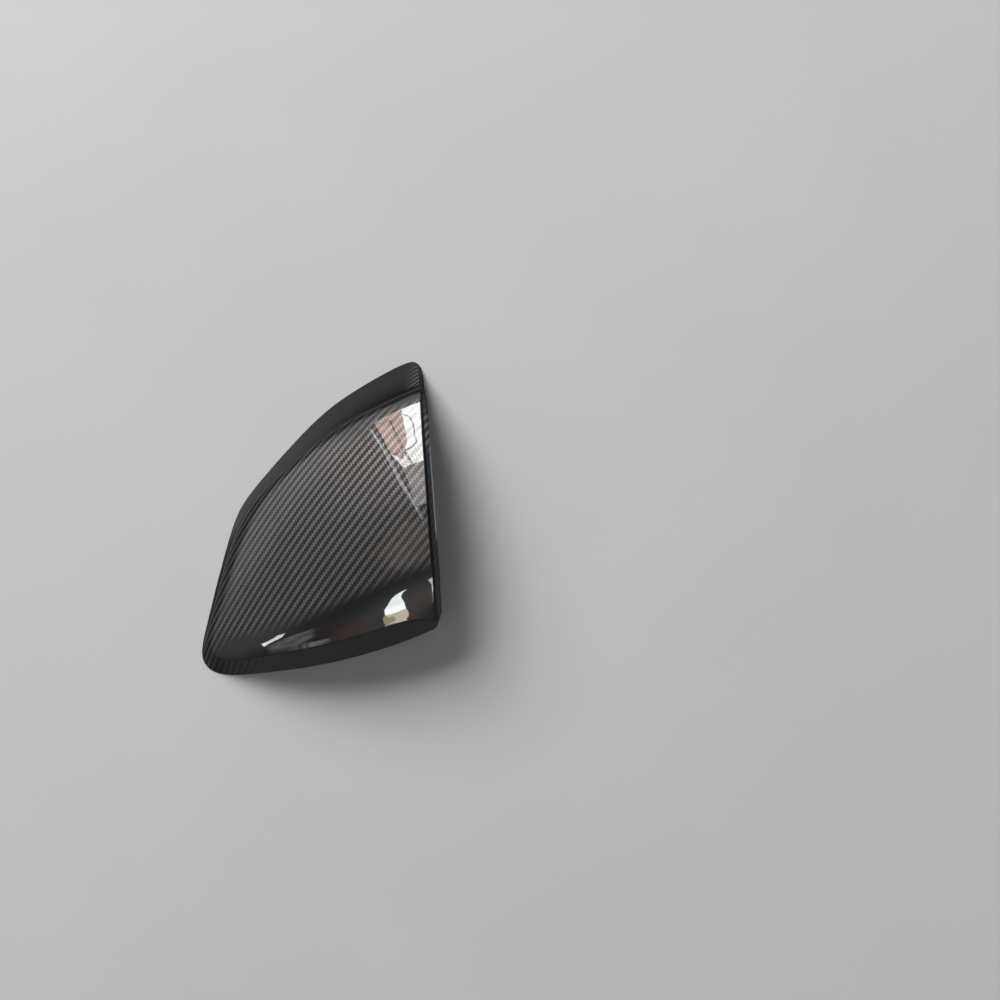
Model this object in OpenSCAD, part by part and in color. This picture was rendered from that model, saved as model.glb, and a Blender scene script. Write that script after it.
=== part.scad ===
// Wing mirror cover, left hand, carbon fibre laminate, one moulding.
// Z up, rim plane at z = 0, crown of the dome upwards, straight open side along Y on the +X side.

/* [Cover shell] */
// Height of the crown of the dome above the rim plane, mm
crown_height = 70; // [68:1:72]
// Radius of the crown across the cover, mm
crown_radius_x = 180; // [170:5:195]
// Radius of the crown along the cover, mm
crown_radius_y = 160; // [150:5:175]
// Laminate thickness, mm
wall = 2; // [1.8:0.1:2.2]

/* [Side flange] */
// Width of the flat part of the return flange on the straight side, mm
flange_width = 8; // [6:0.5:9]
// Lean of the flange away from the upright, degrees
flange_lean = 26; // [20:1:30]
// Size of the rounded fold between dome and flange, mm
fold_size = 1.6; // [1.5:0.1:2]

/* [Inside fittings] */
// Width of a snap hook, mm
hook_width = 12; // [9:0.5:14]
// Thickness of a snap hook, mm
hook_thick = 2.2; // [1.8:0.1:2.6]
// Reach of the barb at the end of a snap hook, mm
hook_barb = 2; // [1.5:0.1:2.4]
// Radius of a locating peg, mm
peg_radius = 3; // [2.5:0.1:3.4]
// Length of the free end of a locating peg, mm
peg_length = 10; // [8:0.5:12]
// Radius of the boss that carries a locating peg, mm
boss_radius = 5; // [4.5:0.1:5.2]
// Length of the boss below the inner skin, mm
boss_length = 16; // [12:0.5:18]
// Thickness of the stiffening ribs under the dome, mm
rib_thick = 1.6; // [1.4:0.1:2]
// Depth of the stiffening ribs under the dome, mm
rib_depth = 6; // [5:0.5:8]

/* [Hidden] */
$fn = 48;

// Crest of the dome in plan, and its twist
crown_at = [60, 0];
crown_twist = 0.0018;
// Middle of the straight fold, where the ribs of the grid meet
pole = [76.2, 10];
// Arch that sets the direction of the flange: centre and half axes in y and z
arch_c = [5, -5];
arch_a = [115, 70];

// One line per station round the open rim, from the top of the straight side,
// along the upper edge, down the outer end and back along the lower edge:
// rim x, y | break line x, y, z | start of the dome x, y |
// shoulder above the break line: 0 steep step, 1 even roll
stations = [
    [74, 125, 75, 92, 38, 75, 80, 0],
    [69.5, 130.3, 58, 86, 38, 60, 75, 0],
    [28, 109.5, 43, 79, 38, 47, 68, 0],
    [1, 92.5, 21, 71, 36, 28, 60, 0],
    [-26, 66, -4, 56, 32, 6, 49, 0],
    [-50, 40, -29, 38, 25, -17, 33, 0],
    [-67, 19.5, -54, 20, 17, -33, 18, 0],
    [-75, -8, -69, -6, 14, -45, -2, 0],
    [-83, -35, -78, -33, 12, -54, -26, 0],
    [-91, -66, -86.5, -62.5, 10, -60, -50, 0],
    [-98, -91, -92, -84, 7, -66, -70, 0.2],
    [-84, -104, -78, -95, 11, -58, -82, 0.8],
    [-50, -103, -47, -95, 26, -38, -86, 1],
    [-10, -101, -7, -93, 37, -2, -76, 1],
    [32, -93, 34, -85, 42, 38, -62, 1],
    [60, -85, 61, -78, 43, 62, -53, 1],
    [73, -80, 75.4, -79, 34, 76.8, -50, 1]
];
ns = len(stations);
ext = concat([2*stations[0] - stations[1]], stations, [2*stations[ns-1] - stations[ns-2]]);

// Grid: ribs round the rim, rows over the edge zone, rows over the dome
ribs_n = 60;
edge_n = 20;
dome_n = 10;
rows_n = edge_n + dome_n;
fold_n = 5;
// Dome control points between the start of the dome and the pole
steps = 8;
u_dome = 8;
u_max = steps + 7;

function basis(t) = [(1-t)^3, 3*t^3 - 6*t^2 + 4, -3*t^3 + 3*t^2 + 3*t + 1, t^3] / 6;
function dbasis(t) = [-(1-t)^2, 3*t^2 - 4*t, -3*t^2 + 2*t + 1, t^2] / 2;
function unit(a) = a / norm(a);

function dome(x, y) = crown_height
    - (x-crown_at[0])^2 / (2*crown_radius_x)
    - (y-crown_at[1])^2 / (2*crown_radius_y)
    + crown_twist*(x-crown_at[0])*(y-crown_at[1]);
function dome_n_at(x, y) = unit([
    (x-crown_at[0])/crown_radius_x - crown_twist*(y-crown_at[1]),
    (y-crown_at[1])/crown_radius_y - crown_twist*(x-crown_at[0]), 1]);

// Values of the table at any place v between the stations
function station(v) = let (j = min(floor(v), ns-2), b = basis(v-j))
    b[0]*ext[j] + b[1]*ext[j+1] + b[2]*ext[j+2] + b[3]*ext[j+3];

// Control points of the rib at v, from below the rim up to the pole
function ctrl(v) = let (
        s = station(v),
        r = [s[0], s[1], 0],
        k = [s[2], s[3], s[4]],
        m = [s[5], s[6], dome(s[5], s[6])],
        w = k - r, a = m - k, e = s[7], drop = dome(k[0], k[1]) - k[2],
        st = [pole[0]-s[5], pole[1]-s[6]] / steps,
        q = (st[0]^2/crown_radius_x + st[1]^2/crown_radius_y - 2*crown_twist*st[0]*st[1]) / 6)
    concat([r - w*12/k[2], r - w*3/k[2], r + w*(0.45 + 0.17*e), r + w*(0.86 + 0.1*e), k + w*0.02],
           [for (g = [[0.10 - 0.04*e, 0.38 + 0.50*e], [0.30 + 0.08*e, 0.12 + 0.27*e], [0.62 + 0.08*e, 0.02 + 0.09*e]])
               let (x = k[0] + a[0]*g[0], y = k[1] + a[1]*g[0]) [x, y, dome(x, y) + q - drop*g[1]]],
           [for (i = [0:steps+1]) let (x = s[5]+st[0]*i, y = s[6]+st[1]*i) [x, y, dome(x, y) + q]]);

// Point and u-derivative on a rib with control points c
function at(c, u) = let (i = min(max(floor(u), 0), len(c)-4), b = basis(u-i))
    b[0]*c[i] + b[1]*c[i+1] + b[2]*c[i+2] + b[3]*c[i+3];
function at_du(c, u) = let (i = min(max(floor(u), 0), len(c)-4), b = dbasis(u-i))
    b[0]*c[i] + b[1]*c[i+1] + b[2]*c[i+2] + b[3]*c[i+3];
// Outward normal at (u, v): c is the rib at v, c2 the rib a little further round
function normal_at(c, c2, u) = let (p = at(c, u))
    u > u_max - 1.5 ? dome_n_at(p[0], p[1]) : unit(cross(at(c2, u) - p, at_du(c, u)));

// Row position along a rib whose rim is at u0
function row_u(u0, i) = i < edge_n ? u0 + (u_dome-u0)*i/edge_n
    : u_dome + (u_max-u_dome)*(i-edge_n)/dome_n;

// Root of z = 0 on the skin of a rib, off = 0 outer skin, off = wall inner skin
function skin(c, c2, u, off) = at(c, u) - off*normal_at(c, c2, u);
function rim_u(c, c2, off, lo = 0, hi = 3, n = 22) = n == 0 ? (lo+hi)/2
    : let (mid = (lo+hi)/2) skin(c, c2, mid, off)[2] > 0
        ? rim_u(c, c2, off, lo, mid, n-1) : rim_u(c, c2, off, mid, hi, n-1);
function flat(p) = [p[0], p[1], 0];

function rib_points(v, off) = let (
        e = v < ns-1.5 ? 0.01 : -0.01, sg = e > 0 ? 1 : -1,
        c = ctrl(v), c3 = ctrl(v+e), c2 = sg > 0 ? c3 : 2*c - c3,
        u0 = rim_u(c, c2, off))
    [for (i = [0:rows_n-1]) let (p = skin(c, c2, row_u(u0, i), off)) i == 0 ? flat(p) : p];

// Fold and flange: m runs across from the fold line to the edge, w runs along it
first = ctrl(0);
first2 = ctrl(0.01);
last = ctrl(ns-1);
last2 = 2*last - ctrl(ns-1.01);
function leg_u(w) = w <= u_max ? w : 2*u_max - w;
// 0 along the arch, rising to 1 at the two feet
function foot(w) = let (t = max(0, 1-w/8, 1-(2*u_max-w)/8)) t^2*(3-2*t);
function fold_d(p, w) = let (a = flange_lean*(1-0.55*foot(w)),
        n = unit([(p[1]-arch_c[0])/arch_a[0]^2, (p[2]-arch_c[1])/arch_a[1]^2]))
    [sin(a), -n[0]*cos(a), -n[1]*cos(a)];
function fold_t(w) = let (u = leg_u(w), c = w <= u_max ? first : last, c2 = w <= u_max ? first2 : last2,
        n = normal_at(c, c2, u), t = unit(cross(at_du(c, u), n)))
    t[0] > 0 ? t : -t;
function fold_p(m, w) = let (u = leg_u(w), c = w <= u_max ? first : last,
        p = at(c, u), t = fold_t(w), d = fold_d(p, w),
        h = fold_size * (1 + (w < u_max ? 0.2 : 1.3)*foot(w)),
        s = min(m/(fold_n-1), 1))
    p + t*h*(2*s*(1-s) + s^2) + d*h*s^2 + d*flange_width*max(0, m-fold_n+1);
function fold_normal(m, w) = let (m1 = max(m-0.05, 0), m2 = m + (m < 0.05 ? 0.05 : 0),
        a = fold_p(m2 > m ? m2 : m, w) - fold_p(m1, w),
        w1 = max(w-0.05, 0), w2 = min(w+0.05, 2*u_max),
        b = fold_p(m, w2) - fold_p(m, w1)) unit(cross(b, a));
function fold_skin(m, w, off) = fold_p(m, w) - off*fold_normal(m, w);
function fold_lo(m, off, lo = 0, hi = 3, n = 22) = n == 0 ? (lo+hi)/2
    : let (mid = (lo+hi)/2) fold_skin(m, mid, off)[2] > 0
        ? fold_lo(m, off, lo, mid, n-1) : fold_lo(m, off, mid, hi, n-1);
function fold_hi(m, off, lo = 2*u_max-3, hi = 2*u_max, n = 22) = n == 0 ? (lo+hi)/2
    : let (mid = (lo+hi)/2) fold_skin(m, mid, off)[2] > 0
        ? fold_hi(m, off, mid, hi, n-1) : fold_hi(m, off, lo, mid, n-1);
function fold_line(m, off) = let (a = fold_lo(m, off), b = fold_hi(m, off))
    [for (i = [0:2*rows_n])
        let (w = i <= rows_n ? row_u(a, i) : 2*u_max - row_u(2*u_max - b, 2*rows_n-i),
             p = fold_skin(m, w, off))
        i == 0 || i == 2*rows_n ? flat(p) : p];

// Numbering of the vertices of one skin: ribs, pole, then the fold lines
per_skin = (ribs_n+1)*rows_n + 1 + fold_n*(2*rows_n+1);
pole_id = (ribs_n+1)*rows_n;
function id(k, i) = i >= rows_n ? pole_id : k*rows_n + i;
function fid(m, i) = m == 0 ? (i <= rows_n ? id(0, i) : id(ribs_n, 2*rows_n-i))
    : pole_id + 1 + (m-1)*(2*rows_n+1) + i;
function skin_points(off) = concat(
    [for (k = [0:ribs_n], p = rib_points((ns-1)*k/ribs_n, off)) p],
    [let (n = dome_n_at(pole[0], pole[1])) [pole[0], pole[1], dome(pole[0], pole[1])] - off*n],
    [for (m = [1:fold_n], p = fold_line(m, off)) p]);
skin_faces = concat(
    [for (k = [0:ribs_n-1], i = [0:rows_n-2], f = [
        [id(k, i), id(k+1, i), id(k+1, i+1)], [id(k, i), id(k+1, i+1), id(k, i+1)]]) f],
    [for (k = [0:ribs_n-1]) [id(k, rows_n-1), id(k+1, rows_n-1), pole_id]],
    [for (m = [0:fold_n-1], i = [0:2*rows_n-1], f = [
        [fid(m, i), fid(m, i+1), fid(m+1, i+1)], [fid(m, i), fid(m+1, i+1), fid(m+1, i)]]) f]);
// Open boundary of a skin: round the rim, then along the flange edge
border = concat(
    [for (k = [0:ribs_n]) id(k, 0)],
    [for (m = [1:fold_n]) fid(m, 2*rows_n)],
    [for (i = [2*rows_n-1:-1:0]) fid(fold_n, i)],
    [for (m = [fold_n-1:-1:1]) fid(m, 0)]);
nb = len(border);
function turned(f) = [f[2], f[1], f[0]];
function lifted(f) = [for (a = f) a + per_skin];

// Centre of the bounding box in plan, moved onto the origin
outer = skin_points(0);
xs = [for (p = outer) p[0]];
ys = [for (p = outer) p[1]];
mid = [(min(xs)+max(xs))/2, (min(ys)+max(ys))/2];
function shifted(p) = [p[0]-mid[0], p[1]-mid[1], p[2]];
// Height of the middle of the wall above a point of the finished frame, under the dome only
function wall_z(x, y) = let (n = dome_n_at(x+mid[0], y+mid[1]))
    dome(x+mid[0], y+mid[1]) - wall/2/n[2];

module shell() {
    polyhedron(
        points = [for (p = concat(outer, skin_points(wall))) shifted(p)],
        faces = concat(
            [for (f = skin_faces) turned(f)],
            [for (f = skin_faces) lifted(f)],
            [for (i = [0:nb-1]) let (a = border[i], b = border[(i+1)%nb]) each [
                [a, b, b+per_skin], [a, b+per_skin, a+per_skin]]]),
        convexity = 10);
}

// Locating pegs on bosses under the crown
peg_at = [[66, 10], [66, -30]];
boss_end = crown_height - wall - boss_length;
module peg(p) {
    translate([p[0], p[1], boss_end])
        cylinder(r = boss_radius, h = wall_z(p[0], p[1]) - 0.2 - boss_end);
    translate([p[0], p[1], boss_end - peg_length])
        cylinder(r = peg_radius, h = peg_length + 1);
}

// Stiffening rib under the dome between two plan points
module rib(a, b, n = 10) {
    l = norm(b - a);
    top = [for (i = [0:n]) let (p = a + (b-a)*i/n) [l*i/n, wall_z(p[0], p[1])]];
    low = [for (i = [n:-1:0]) [top[i][0], top[i][1] - rib_depth - wall/2]];
    translate([a[0], a[1], 0]) rotate([90, 0, atan2(b[1]-a[1], b[0]-a[0])])
        linear_extrude(height = rib_thick, center = true) polygon(concat(top, low));
}

// Snap hooks hanging from the skin beside the rim: [v, u] on the grid
hook_at = [[1.7, 1.7], [4.5, 2.2], [8, 5.6], [12.7, 5], [14.6, 4.8]];
hook_foot = 4;
module hook(v, u) {
    c = ctrl(v);
    p = at(c, u);
    n = normal_at(c, ctrl(v + 0.01), u);
    g = norm([n[0], n[1]])/n[2];
    z = p[2] - wall/2/n[2];
    t = hook_thick/2;
    translate([p[0]-mid[0], p[1]-mid[1], 0]) rotate([90, 0, atan2(-n[1], -n[0])])
        linear_extrude(height = hook_width, center = true)
            polygon([[t, hook_foot], [t, z + g*t], [-t, z - g*t], [-t, hook_foot + 6],
                     [-t-hook_barb, hook_foot + 5], [-t-hook_barb, hook_foot + 4], [-t, hook_foot]]);
}

module mirror_cover() {
    color([0.16, 0.16, 0.17]) union() {
        shell();
        for (p = peg_at) peg(p);
        rib([66, -50], [66, 50]);
        rib([-4, 10], [72, 10]);
        rib([-28, -30], [72, -30]);
        for (h = hook_at) hook(h[0], h[1]);
    }
}

mirror_cover();
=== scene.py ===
import math

import bmesh
import bpy
import numpy as np
from mathutils import Matrix, Vector


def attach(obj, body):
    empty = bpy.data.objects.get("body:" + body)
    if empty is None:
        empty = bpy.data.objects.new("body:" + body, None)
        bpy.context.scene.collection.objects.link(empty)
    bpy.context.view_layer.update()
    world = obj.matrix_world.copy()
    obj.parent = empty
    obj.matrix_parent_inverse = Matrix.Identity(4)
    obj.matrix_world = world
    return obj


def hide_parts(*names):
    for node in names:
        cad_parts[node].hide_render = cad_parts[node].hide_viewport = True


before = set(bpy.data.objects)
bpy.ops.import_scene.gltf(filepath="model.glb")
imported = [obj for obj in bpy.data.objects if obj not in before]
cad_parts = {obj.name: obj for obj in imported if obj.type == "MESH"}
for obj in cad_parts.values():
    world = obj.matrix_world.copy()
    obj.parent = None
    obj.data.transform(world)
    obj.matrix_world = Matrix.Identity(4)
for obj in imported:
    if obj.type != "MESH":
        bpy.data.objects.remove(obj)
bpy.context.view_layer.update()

# ---------------------------------------------------------------- design numbers, in mm, the same as the solid's
CROWN, RX, RY = 70.0, 180.0, 160.0
CROWN_AT = (60.0, 0.0)
TWIST = 0.0018
WALL = 2.0
FLANGE_W, FLANGE_LEAN, FOLD = 8.0, math.radians(26.0), 1.6
POLE = np.array([76.2, 10.0])
ARCH_C, ARCH_A = (5.0, -5.0), (115.0, 70.0)
STATIONS = np.array([
    [74, 125, 75, 92, 38, 75, 80, 0],
    [69.5, 130.3, 58, 86, 38, 60, 75, 0],
    [28, 109.5, 43, 79, 38, 47, 68, 0],
    [1, 92.5, 21, 71, 36, 28, 60, 0],
    [-26, 66, -4, 56, 32, 6, 49, 0],
    [-50, 40, -29, 38, 25, -17, 33, 0],
    [-67, 19.5, -54, 20, 17, -33, 18, 0],
    [-75, -8, -69, -6, 14, -45, -2, 0],
    [-83, -35, -78, -33, 12, -54, -26, 0],
    [-91, -66, -86.5, -62.5, 10, -60, -50, 0],
    [-98, -91, -92, -84, 7, -66, -70, 0.2],
    [-84, -104, -78, -95, 11, -58, -82, 0.8],
    [-50, -103, -47, -95, 26, -38, -86, 1],
    [-10, -101, -7, -93, 37, -2, -76, 1],
    [32, -93, 34, -85, 42, 38, -62, 1],
    [60, -85, 61, -78, 43, 62, -53, 1],
    [73, -80, 75.4, -79, 34, 76.8, -50, 1],
], float)
NS = len(STATIONS)
EXT = np.vstack([2 * STATIONS[0] - STATIONS[1], STATIONS, 2 * STATIONS[-1] - STATIONS[-2]])
STEPS = 8
U_DOME, U_MAX = 8.0, STEPS + 7.0


def dome(x, y):
    dx, dy = x - CROWN_AT[0], y - CROWN_AT[1]
    return CROWN - dx**2 / (2 * RX) - dy**2 / (2 * RY) + TWIST * dx * dy


def unit(a):
    return a / np.maximum(np.linalg.norm(a, axis=-1, keepdims=True), 1e-12)


def dome_normal(x, y):
    dx, dy = x - CROWN_AT[0], y - CROWN_AT[1]
    return unit(np.stack([dx / RX - TWIST * dy, dy / RY - TWIST * dx, np.ones_like(x)], -1))


def basis(t):
    return np.stack([(1 - t) ** 3, 3 * t**3 - 6 * t**2 + 4, -3 * t**3 + 3 * t**2 + 3 * t + 1, t**3], -1) / 6


def dbasis(t):
    return np.stack([-((1 - t) ** 2), 3 * t**2 - 4 * t, -3 * t**2 + 2 * t + 1, t**2], -1) / 2


def controls(v):
    """Control points of the ribs at the places v round the rim: array (len(v), 18, 3)."""
    v = np.asarray(v, float)
    j = np.clip(np.floor(v).astype(int), 0, NS - 2)
    b = basis(v - j)
    s = sum(b[:, k, None] * EXT[j + k] for k in range(4))
    r = np.stack([s[:, 0], s[:, 1], 0 * s[:, 0]], -1)
    k = s[:, 2:5]
    m = np.stack([s[:, 5], s[:, 6], dome(s[:, 5], s[:, 6])], -1)
    w, a = k - r, m - k
    kz = k[:, 2:3]
    e = s[:, 7:8]                 # 0 where the shoulder is a steep step, 1 where it is an even roll
    out = [r - w * 12 / kz, r - w * 3 / kz, r + w * (0.45 + 0.17 * e), r + w * (0.86 + 0.1 * e), k + w * 0.02]
    st = (POLE - s[:, 5:7]) / STEPS
    q = (st[:, 0] ** 2 / RX + st[:, 1] ** 2 / RY - 2 * TWIST * st[:, 0] * st[:, 1]) / 6
    drop = dome(k[:, 0], k[:, 1]) - k[:, 2]
    for f, g in ((0.10 - 0.04 * e, 0.38 + 0.50 * e), (0.30 + 0.08 * e, 0.12 + 0.27 * e), (0.62 + 0.08 * e, 0.02 + 0.09 * e)):
        p = k[:, :2] + a[:, :2] * f
        out.append(np.stack([p[:, 0], p[:, 1], dome(p[:, 0], p[:, 1]) + q - drop * g[:, 0]], -1))
    for i in range(STEPS + 2):
        p = s[:, 5:7] + st * i
        out.append(np.stack([p[:, 0], p[:, 1], dome(p[:, 0], p[:, 1]) + q], -1))
    return np.stack(out, 1)


def at(c, u, f=basis):
    """c is (n, 18, 3) and u is (n, m): points (n, m, 3)."""
    i = np.clip(np.floor(u).astype(int), 0, c.shape[1] - 4)
    b = f(u - i)
    n = np.arange(c.shape[0])[:, None]
    return sum(b[..., k, None] * c[n, i + k] for k in range(4))


def normals(c, c2, u):
    p = at(c, u)
    n = unit(np.cross(at(c2, u) - p, at(c, u, dbasis)))
    d = dome_normal(p[..., 0], p[..., 1])
    return np.where((u > U_MAX - 1.5)[..., None], d, n)


def rib_pairs(v):
    c = controls(v)
    e = 0.01
    ahead = np.asarray(v) < NS - 1.5
    c3 = controls(np.where(ahead, np.asarray(v) + e, np.asarray(v) - e))
    return c, np.where(ahead[:, None, None], c3, 2 * c - c3)


def skin(c, c2, u, off):
    return at(c, u) - off * normals(c, c2, u)


def root(f, lo, hi, level):
    """Bisection, on arrays: f rises through level between lo and hi."""
    for _ in range(30):
        mid = (lo + hi) / 2
        up = f(mid) > level
        hi, lo = np.where(up, mid, hi), np.where(up, lo, mid)
    return (lo + hi) / 2


FIRST, FIRST2 = rib_pairs(np.array([0.0]))
LAST, LAST2 = rib_pairs(np.array([NS - 1.0]))


def foot(w):
    t = np.maximum(0, np.maximum(1 - w / 8, 1 - (2 * U_MAX - w) / 8))
    return t**2 * (3 - 2 * t)


def fold_point(s, w):
    """s runs from 0 on the fold line to 1 at the end of the bend and on along the flat in mm + 1; w along the fold."""
    s, w = np.broadcast_arrays(np.asarray(s, float), np.asarray(w, float))
    head = w <= U_MAX
    u = np.where(head, w, 2 * U_MAX - w)
    uu = u.reshape(1, -1)
    pick = head.reshape(-1)[:, None]
    p = np.where(pick, at(FIRST, uu)[0], at(LAST, uu)[0])
    du = np.where(pick, at(FIRST, uu, dbasis)[0], at(LAST, uu, dbasis)[0])
    n = np.where(pick, normals(FIRST, FIRST2, uu)[0], normals(LAST, LAST2, uu)[0])
    t = unit(np.cross(du, n))
    t = np.where(t[:, :1] > 0, t, -t)
    wf, sf = w.reshape(-1), s.reshape(-1)
    ft = foot(wf)
    a = FLANGE_LEAN * (1 - 0.55 * ft)
    m = unit(np.stack([(p[:, 1] - ARCH_C[0]) / ARCH_A[0] ** 2, (p[:, 2] - ARCH_C[1]) / ARCH_A[1] ** 2], -1))
    d = np.stack([np.sin(a), -m[:, 0] * np.cos(a), -m[:, 1] * np.cos(a)], -1)
    h = (FOLD * (1 + np.where(wf < U_MAX, 0.2, 1.3) * ft))[:, None]
    b = np.minimum(sf, 1)[:, None]
    flat = np.maximum(sf - 1, 0)[:, None]
    q = p + t * h * (2 * b * (1 - b) + b**2) + d * h * b**2 + d * flat
    return q.reshape(s.shape + (3,))


def fold_skin(s, w, off):
    s, w = np.broadcast_arrays(np.asarray(s, float), np.asarray(w, float))
    e = 0.02
    s1, s2 = np.maximum(s - e, 0), np.where(s < e, s + e, s)
    w1, w2 = np.maximum(w - 0.05, 0), np.minimum(w + 0.05, 2 * U_MAX)
    n = unit(np.cross(fold_point(s, w2) - fold_point(s, w1), fold_point(s2, w) - fold_point(s1, w)))
    return fold_point(s, w) - off * n


# ---------------------------------------------------------------- grids of points
RIBS, EDGE_ROWS, DOME_ROWS = 220, 84, 34
ROWS = EDGE_ROWS + DOME_ROWS
BEND_N, FLAT_N = 8, 6
ROUND = 0.45          # radius of the eased corners of the trimmed edges


def row_u(u0, n_edge, n_dome):
    i = np.arange(n_edge + n_dome)
    e = u0[:, None] + (U_DOME - u0[:, None]) * np.minimum(i, n_edge) / n_edge
    return e + (U_MAX - U_DOME) * np.maximum(i - n_edge, 0) / n_dome


def skin_grid(off, ribs, n_edge, n_dome, s_list):
    """One skin. Returns (points and normals of the main grid, u, points and normals of the fold strip, w along the
    fold).
    """
    v = (NS - 1.0) * np.arange(ribs + 1) / ribs
    c, c2 = rib_pairs(v)
    n = len(v)
    lift = ROUND
    f = lambda u: skin(c, c2, u[:, None], off)[:, 0, 2]
    u0 = root(f, np.zeros(n), np.full(n, 3.0), lift)
    u = row_u(u0, n_edge, n_dome)
    main = skin(c, c2, u, off)
    nmain = normals(c, c2, u)
    s = np.array(s_list)
    k = len(s)
    g = lambda w: fold_skin(s, w, off)[:, 2]
    lo = root(g, np.zeros(k), np.full(k, 3.0), lift)
    hi = 2 * U_MAX - root(lambda w: fold_skin(s, 2 * U_MAX - w, off)[:, 2], np.zeros(k), np.full(k, 3.0), lift)
    first = row_u(lo, n_edge, n_dome)
    last = row_u(2 * U_MAX - hi, n_edge, n_dome)
    w = np.concatenate([first, np.full((k, 1), U_MAX), 2 * U_MAX - last[:, ::-1]], 1)
    fold = fold_skin(s[:, None], w, off)
    nfold = (fold_skin(s[:, None], w, off) - fold_skin(s[:, None], w, off + 1.0))
    return main, nmain, u, fold, nfold, w


def faces_of(ribs, rows, folds, base):
    """Quads and triangles of one skin as lists of vertex numbers, outward for the outer skin."""
    pole = base + (ribs + 1) * rows
    out = []

    def vid(k, i):
        return pole if i >= rows else base + k * rows + i

    def fid(m, i):
        if m == 0:
            return vid(0, i) if i <= rows else vid(ribs, 2 * rows - i)
        return pole + 1 + (m - 1) * (2 * rows + 1) + i

    for k in range(ribs):
        for i in range(rows - 1):
            out.append((vid(k, i), vid(k + 1, i), vid(k + 1, i + 1), vid(k, i + 1)))
        out.append((vid(k, rows - 1), vid(k + 1, rows - 1), pole))
    for m in range(folds):
        for i in range(2 * rows):
            out.append((fid(m, i), fid(m, i + 1), fid(m + 1, i + 1), fid(m + 1, i)))
    border = [vid(k, 0) for k in range(ribs + 1)]
    border += [fid(m, 2 * rows) for m in range(1, folds + 1)]
    border += [fid(folds, i) for i in range(2 * rows - 1, -1, -1)]
    border += [fid(m, 0) for m in range(folds - 1, 0, -1)]
    return out, border


def develop(p, n, start2, dir2):
    """Unrolls rows of points (k, m, 3) on the surface with normals n into the plane, keeping lengths and turns.
    start2 (k, 2) is where each row begins and dir2 (k,) its first direction there."""
    seg = p[:, 1:] - p[:, :-1]
    length = np.linalg.norm(seg, axis=-1)
    nn = unit(n[:, 1:-1] + 0)
    a = seg[:, :-1] - nn * np.sum(seg[:, :-1] * nn, -1, keepdims=True)
    b = seg[:, 1:] - nn * np.sum(seg[:, 1:] * nn, -1, keepdims=True)
    turn = np.arctan2(np.sum(np.cross(a, b) * nn, -1), np.sum(a * b, -1))
    ang = dir2[:, None] + np.concatenate([np.zeros((len(p), 1)), np.cumsum(turn, 1)], 1)
    step = np.stack([np.cos(ang), np.sin(ang)], -1) * length[..., None]
    pos = np.concatenate([np.zeros((len(p), 1, 2)), np.cumsum(step, 1)], 1) + start2[:, None]
    return pos, ang


# the bounding box in plan sits on the origin: the same shift as the solid's
OUT_S = list(np.arange(BEND_N + 1) / BEND_N) + [1 + (FLANGE_W - ROUND) * (i + 1) / FLAT_N for i in range(FLAT_N)]
outer, nouter, u_out, ofold, nofold, w_out = skin_grid(0.0, RIBS, EDGE_ROWS, DOME_ROWS, OUT_S)
inner, ninner, u_in, ifold, nifold, w_in = skin_grid(WALL, RIBS, EDGE_ROWS, DOME_ROWS, OUT_S)
nofold, nifold = unit(nofold), unit(nifold)
for row, lean in ((-1, 0.42), (-2, 0.26)):           # the shading normals of the flange's last two rows lean towards its trimmed edge, as if it were eased over
    nofold[row] = unit(nofold[row] + lean * unit(ofold[-1] - ofold[-2]))
pole3 = np.array([POLE[0], POLE[1], float(dome(POLE[0], POLE[1]))])
pole_n = dome_normal(POLE[:1], POLE[1:])[0]

# cloth coordinates of the outer skin, in mm: every rib is unrolled from the pole outwards
rib_pts = np.concatenate([np.repeat(pole3[None, None], RIBS + 1, 0), outer[:, ::-1]], 1)
rib_nrm = np.concatenate([np.repeat(pole_n[None, None], RIBS + 1, 0), nouter[:, ::-1]], 1)
first_seg = rib_pts[:, 1] - rib_pts[:, 0]
start_dir = np.arctan2(first_seg[:, 1], first_seg[:, 0])
cloth, ang = develop(rib_pts, rib_nrm, np.zeros((RIBS + 1, 2)), start_dir)
cloth = cloth[:, ::-1]            # row order of the grid, then the pole
ang = ang[:, ::-1]
main_uv, pole_uv = cloth[:, :-1], cloth[0, -1]
fold_dist = np.concatenate([np.zeros((1, ofold.shape[1])),
                            np.cumsum(np.linalg.norm(ofold[1:] - ofold[:-1], axis=-1), 0)], 0)
edge_uv = np.concatenate([main_uv[0], pole_uv[None], main_uv[-1][::-1]], 0)
edge_dir = np.concatenate([ang[0] + math.pi, [math.pi * 1.5], ang[-1][::-1]], 0)   # direction of travel, down the fold
edge_dir = np.unwrap(edge_dir)[: edge_uv.shape[0]]
side = np.stack([-np.sin(edge_dir), np.cos(edge_dir)], -1)                    # left of travel, which is +X
fold_uv = edge_uv[None] + side[None] * fold_dist[..., None]

MID = np.array([-6.12, 12.0, 0.0])      # middle of the outline in the frame of the stations
SHIFT = -MID


def to_m(p):
    return (np.asarray(p, float) + SHIFT) / 1000.0


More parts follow.
